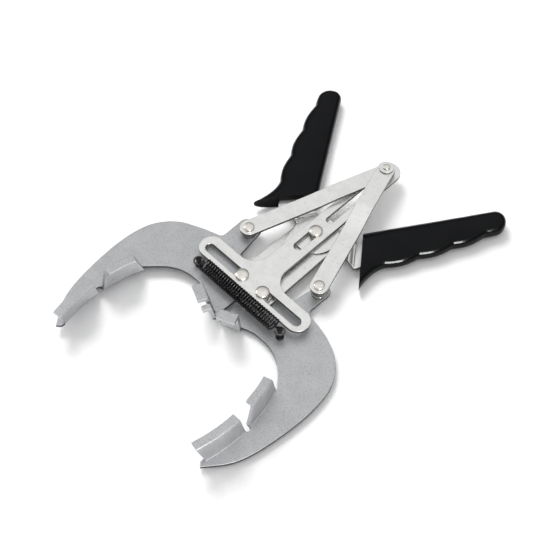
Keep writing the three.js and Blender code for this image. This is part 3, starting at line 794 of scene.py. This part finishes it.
def grip():
    """Dipped grip for the right side. Each ring lies between the inner and outer edge:
    middle + half width * sgn(cos a)|cos a|^q, height sgn(sin a)|sin a|^q, q being SQUARENESS; over
    the last GRIP_END_R it closes on a quarter circle."""
    w = np.linspace(0, 1, GRIP_ROWS)
    quarter = np.sin(np.linspace(0, math.pi / 2, END_ROWS))
    w = np.r_[w[w < 1 - END_SHARE], 1 - END_SHARE + END_SHARE * quarter]
    s_in = w * GRIP_LENGTH
    s_out = -GUARD + w * (GRIP_LENGTH + GUARD)
    over = np.clip((s_in - (GRIP_LENGTH - GRIP_END_R)) / GRIP_END_R, 0, FULLY_CLOSED)
    close = 1 - np.sqrt(1 - over**2)
    inner = grip_point(s_in, close * GRIP_END_R)
    outer = grip_point(s_out, grip_outer(s_out) - close * GRIP_END_R)
    centre, half = (inner + outer) / 2, (outer - inner) / 2
    half_thick = GRIP_THICK / 2 * (1 - END_THINNING * close)
    a = np.linspace(0, FULL_TURN, GRIP_SIDES, endpoint=False)
    across = np.sign(np.cos(a)) * np.abs(np.cos(a)) ** SQUARENESS
    rise = np.sign(np.sin(a)) * np.abs(np.sin(a)) ** SQUARENESS
    flat = centre[:, None] + half[:, None] * across[None, :, None]
    height = GRIP_THICK / 2 + half_thick[:, None] * rise
    rings = np.concatenate([flat, height[..., None]], axis=-1)
    front = rings[0]
    centre_front = front.mean(axis=0)
    lips = [centre_front + (front - centre_front) * share for share in (0.9, 0.975)]
    rings = np.concatenate([np.stack(lips), rings])
    vertices = np.vstack([rings.reshape(-1, 3), centre_front, rings[-1].mean(axis=0)])
    count = len(rings)
    return shell(vertices, quads(count, GRIP_SIDES), end_fans(count, GRIP_SIDES))


def levers():
    """Both handles and grips. The left handle's pivot hole is wider, as it is in the CAD."""
    right = handle(LAYER_B, 3.0, 21.5, 25.5, 2.7)
    left = handle(LAYER_C, 4.25, 16.2, 20.0, 3.4)
    piece("right_handle_visual", [right], ZINC_RIGHT, ["right_handle"], "right_lever",
          rim=ZINC_EDGE_PAINTED_SHADE)
    piece("left_handle_visual", mirrored([left]), ZINC_LEFT, ["left_handle"],
          "left_lever", rim=ZINC_EDGE_PAINTED_SHADE)
    piece("right_grip_visual", [grip()], VINYL, ["right_grip"], "right_lever",
          GRIP_SHARP)
    piece("left_grip_visual", mirrored([grip()]), VINYL, ["left_grip"],
          "left_lever", GRIP_SHARP)


# ---- links -------------------------------------------------------------------------------------
LINK_HALF = 5.7
LINK_SHEET = 2.2


def link(apex_low, apex_hole, step_from, step_to):
    """Round-ended strut from the claw's pin to the apex, stepping up between two distances."""
    low = box_mm("right_link")[0]
    span = APEX - LINK_PIN
    direction = span / np.linalg.norm(span)
    turn = math.degrees(math.atan2(direction[1], direction[0]))
    outline = np.vstack([
        arc(APEX, LINK_HALF, turn - 90, turn + 90, 24),
        arc(LINK_PIN, LINK_HALF, turn + 90, turn + 270, 24),
    ])
    start = LINK_PIN @ direction
    step = (direction, start + step_from, start + step_to, apex_low - low[2])
    holes = [circle(LINK_PIN, LINK_HOLE_R), circle(APEX, apex_hole)]
    return sheet_metal(outline, holes, low[2], LINK_SHEET, edge=THIN_EDGE, step=step)


def links():
    """Both links; the right one steps up further and lies on top at the apex."""
    right = link(box_mm("right_link")[1][2] - LINK_SHEET, 2.6, 42, 68)
    left = link(box_mm("left_link")[1][2] - LINK_SHEET, 2.2, 40, 66)
    piece("right_link_visual", [right], ZINC_RIGHT, ["right_link"], "right_strut",
          rim=ZINC_EDGE_PAINTED_SHADE)
    piece("left_link_visual", mirrored([left]), ZINC_LEFT, ["left_link"],
          "left_strut", rim=ZINC_EDGE_PAINTED_SHADE)


# ---- rivets, washers and posts -----------------------------------------------------------------
RIM_SHARE = 0.3


def rivet_profile(shank, head_r, head_low, head_top, foot_r, foot_low, foot_top):
    """Rivet outline: flat closed foot with a rolled edge, shank, and a head with a short rim
    under a low dome, (r cos a, rim + (h - rim) sin a)."""
    rim = head_low + RIM_SHARE * (head_top - head_low)
    a = np.radians(np.linspace(0, 90, 13))[:-1]
    dome = np.column_stack([head_r * np.cos(a), rim + (head_top - rim) * np.sin(a)])
    return np.vstack([
        [(0, foot_low), (foot_r - 0.9, foot_low)],
        arc((foot_r - 0.45, foot_low + 0.45), 0.45, -70, 0, 5),
        [(foot_r, foot_top - 0.25), (foot_r - 0.2, foot_top), (shank, foot_top)],
        [(shank, head_low), (head_r - 0.25, head_low), (head_r - 0.06, head_low + 0.1)],
        dome,
        [(0, head_top)],
    ])


RIVETS = {
    # node: (body, shank radius, head radius, top of the foot above its underside)
    "pivot_rivet": ("right_lever", 2.4, 4.3, 1.5),
    "left_slide_rivet": ("left_claw", 2.8, 4.4, 1.5),
    "right_slide_rivet": ("right_claw", 2.8, 4.4, 1.5),
    "left_link_rivet": ("left_claw", 2.0, 3.45, 1.5),
    "right_link_rivet": ("right_claw", 2.0, 3.45, 1.5),
    "apex_rivet": ("left_strut", 1.9, 2.3, 1.4),
}
HEAD_HEIGHT = 2.2
LOW_HEADS = {"left_link_rivet": 1.6, "right_link_rivet": 1.6, "apex_rivet": 1.0}


def rivets():
    """Each rivet at its CAD node's place and height."""
    for node, (body, shank, head_r, foot_h) in RIVETS.items():
        low, high = box_mm(node)
        head_low = high[2] - LOW_HEADS.get(node, HEAD_HEIGHT)
        foot_r = (high[0] - low[0]) / 2
        profile = rivet_profile(shank, head_r, head_low, high[2], foot_r, low[2], low[2] + foot_h)
        piece(node + "_visual", [turned(profile, middle(node))], NICKEL, [node], body)


WASHERS = {
    # node: (body, hole radius)
    "pivot_disc": ("right_lever", 2.7),
    "left_slide_washer": ("left_claw", 3.1),
    "right_slide_washer": ("right_claw", 3.1),
    "left_link_spacer": ("left_claw", 2.3),
    "right_link_spacer_lower": ("right_claw", 2.3),
    "right_link_spacer_upper": ("right_claw", 2.3),
    "apex_guide_washer": ("left_strut", 2.2),
    "apex_top_washer": ("left_strut", 2.2),
    "apex_under_washer": ("left_strut", 2.2),
}


WASHER_EDGE = 0.22


def washers():
    """Stamped washers and spacers with rolled edges."""
    for node, (body, hole) in WASHERS.items():
        low, high = box_mm(node)
        outer = (high[0] - low[0]) / 2
        ring = sheet_metal(circle(middle(node), outer, 64), [circle(middle(node), hole)],
                           low[2], high[2] - low[2], edge=WASHER_EDGE)
        piece(node + "_visual", [ring], ZINC_GUIDE, [node], body, rim=ZINC_EDGE_PAINTED_SHADE)


def spring_posts():
    """Shouldered posts with a collar on the claw and a small head over the spring's loop."""
    for side, body in (("left", "left_claw"), ("right", "right_claw")):
        node = side + "_spring_post"
        low, high = box_mm(node)
        jaw_low = LAYER_B if side == "left" else LAYER_C
        collar = jaw_low + SHEET + 0.3
        profile = np.vstack([
            [(0, low[2]), (2.1, low[2]), (2.4, low[2] + 0.25), (2.4, jaw_low - 0.35)],
            [(2.3, jaw_low - 0.3), (1.3, jaw_low - 0.3), (1.3, collar), (2.45, collar)],
            bend((2.6, collar + 0.15), (2.6, collar + 0.8), (1.5, collar + 1.2)),
            [(1.5, high[2] - 0.9)],
            bend((1.85, high[2] - 0.6), (2.0, high[2] - 0.1), (1.1, high[2] - 0.02)),
            [(0, high[2])],
        ])
        piece(node + "_visual", [turned(profile, middle(node), 40)], OXIDE, [node],
              body)


# ---- spring ------------------------------------------------------------------------------------
COIL_R = 4.0
COIL_LIFT = 1.3  # the coils' axis lies this far above the loops
WIRE_R = 0.56
WIRE_SIDES = 12
HALF_TURNS = 16
STEPS_PER_TURN = 28
BODY_HALF = 30.6
LOOP_R = 3.0
LOOP_TURN = 1.75 * math.pi


def spring_half(side):
    """Half the spring, from the middle to one post. Coils: (x, r cos a, r sin a) with a growing by
    a full turn for each pitch; then a short lead-in and a flat loop round the post."""
    height = (sum(box_mm("spring")) / 2)[2]
    t = np.linspace(0, 1, HALF_TURNS * STEPS_PER_TURN)
    a = side * t * HALF_TURNS * FULL_TURN + math.pi / 2
    coils = np.column_stack([
        side * BODY_HALF * t,
        POST[1] + COIL_R * np.cos(a),
        height + COIL_LIFT + COIL_R * np.sin(a),
    ])
    k = np.linspace(0, 1, 12)[1:-1]
    lead_x = side * (BODY_HALF + (POST[0] - LOOP_R - BODY_HALF) * k)
    lead = np.column_stack([lead_x, POST[1] + 0 * k, height + (COIL_R + COIL_LIFT) * (1 - k)])
    b = np.linspace(0, LOOP_TURN, 44)
    loop = np.column_stack([
        side * (POST[0] - LOOP_R * np.cos(b)), POST[1] + LOOP_R * np.sin(b), height + 0 * b,
    ])
    path = np.vstack([coils, lead, loop])
    slope = np.gradient(path, axis=0)
    slope /= np.linalg.norm(slope, axis=1)[:, None]
    out = np.vstack([
        np.column_stack([0 * a, np.cos(a), np.sin(a)]),
        np.column_stack([0 * k, 0 * k, 1 + 0 * k]),
        np.column_stack([0 * b, 0 * b, 1 + 0 * b]),
    ])
    out -= slope * (slope * out).sum(axis=1)[:, None]
    out /= np.linalg.norm(out, axis=1)[:, None]
    return wire_rings(path, np.cross(slope, out), out, WIRE_R, WIRE_SIDES)


def spring():
    """Both halves of the spring; each stretches between the guide plate and one claw."""
    for name, side, body in (("left", -1, "left_claw"), ("right", 1, "right_claw")):
        half = piece(name + "_spring_half", [spring_half(side)], OXIDE,
                     ["spring"], sharp=SPRING_SHARP)
        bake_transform(half)


guide_plate()
claws()
levers()
links()
rivets()
washers()
spring_posts()
spring()


# ---- floor, light and camera -------------------------------------------------------------------
def floor():
    """A flat sheet of paper just under the tool, wide enough to fill every view from above."""
    mesh = bpy.data.meshes.new("floor")
    reach = 12.0
    corners = [(-reach, -reach, 0), (reach, -reach, 0), (reach, reach, 0), (-reach, reach, 0)]
    mesh.from_pydata(corners, [], [(0, 1, 2, 3)])
    mesh.materials.append(studio_floor())
    made = bpy.data.objects.new("floor", mesh)
    made.location.z = -0.0002
    bpy.context.scene.collection.objects.link(made)


def soft_light(name, place, size, power, glossy=True, diffuse=True, only=()):
    """A rectangular soft box at a place, facing the middle of the floor, in metres and watts. With
    glossy off it casts light and shadow but isn't mirrored in the metal; with diffuse off it's
    only mirrored. only names the objects it's flagged onto, when it isn't for the whole tool."""
    data = bpy.data.lights.new(name, "AREA")
    data.shape = "RECTANGLE"
    data.size, data.size_y = size
    data.energy = power
    made = bpy.data.objects.new(name, data)
    made.location = place
    made.visible_glossy = glossy
    made.visible_diffuse = diffuse
    made.rotation_euler = (-Vector(place)).to_track_quat("-Z", "Y").to_euler()
    bpy.context.scene.collection.objects.link(made)
    if only:
        flagged = bpy.data.collections.new(name + "_receivers")
        for receiver in only:
            flagged.objects.link(bpy.data.objects[receiver])
        made.light_linking.receiver_collection = flagged


def world_light():
    """A studio tent: bright overhead, darker towards the horizon so that edges read in the
    metal."""
    world = bpy.data.worlds.new("studio")
    world.use_nodes = True
    tree = world.node_tree
    direction = add(tree, "ShaderNodeTexCoord").outputs["Generated"]
    height = add(tree, "ShaderNodeSeparateXYZ", {}, {"Vector": direction}).outputs["Z"]
    tent = ramp(tree, height, [(0.0, linear("#6C6C6E")), (0.35, linear("#858587")),
                               (0.62, linear("#E6E6E7")), (1.0, linear("#FDFDFD"))])
    tree.links.new(tent, tree.nodes["Background"].inputs["Color"])
    bpy.context.scene.world = world


VIEW_AZIMUTH = 45.33
VIEW_ELEVATION = 56.8
VIEW_DISTANCE = 0.73
VIEW_SHIFT = (0.0256, 0.0272)  # metres that the view's middle lies left of and below the pivot
LENS = 76.45
SENSOR = 36.0


def camera():
    """A view through a long lens over the right claw, looking down at 57 degrees."""
    azimuth, elevation = math.radians(VIEW_AZIMUTH), math.radians(VIEW_ELEVATION)
    back = Vector((math.sin(azimuth) * math.cos(elevation),
                   -math.cos(azimuth) * math.cos(elevation), math.sin(elevation)))
    right = Vector((math.cos(azimuth), math.sin(azimuth), 0))
    up = back.cross(right)
    target = Vector((*PIVOT, GUIDE_TOP)) * MM - right * VIEW_SHIFT[0] - up * VIEW_SHIFT[1]
    data = bpy.data.cameras.new("camera")
    data.lens, data.sensor_width = LENS, SENSOR
    data.clip_end = 20.0
    made = bpy.data.objects.new("camera", data)
    turn = Matrix((right, up, back)).transposed().to_4x4()
    made.matrix_world = Matrix.Translation(target + back * VIEW_DISTANCE) @ turn
    bpy.context.scene.collection.objects.link(made)
    bpy.context.scene.camera = made


floor()
world_light()
soft_light("shadow_key", (-0.78, 0.30, 1.00), (0.6, 0.6), 12, glossy=False)
soft_light("left_box", (-1.05, -0.35, 0.60), (0.4, 0.4), 2.5)
soft_light("right_glint", (0.90, -0.45, 0.62), (0.5, 0.12), 7, diffuse=False)
soft_light("grip_glint", (0.90, -0.45, 0.62), (0.7, 0.55), 95, diffuse=False,
           only=("left_grip_visual", "right_grip_visual"))
soft_light("spring_glint", (-0.47, 0.54, 0.96), (0.35, 1.3), 40, diffuse=False,
           only=("left_spring_half", "right_spring_half"))
camera()
bpy.context.scene.view_settings.view_transform = "Standard"
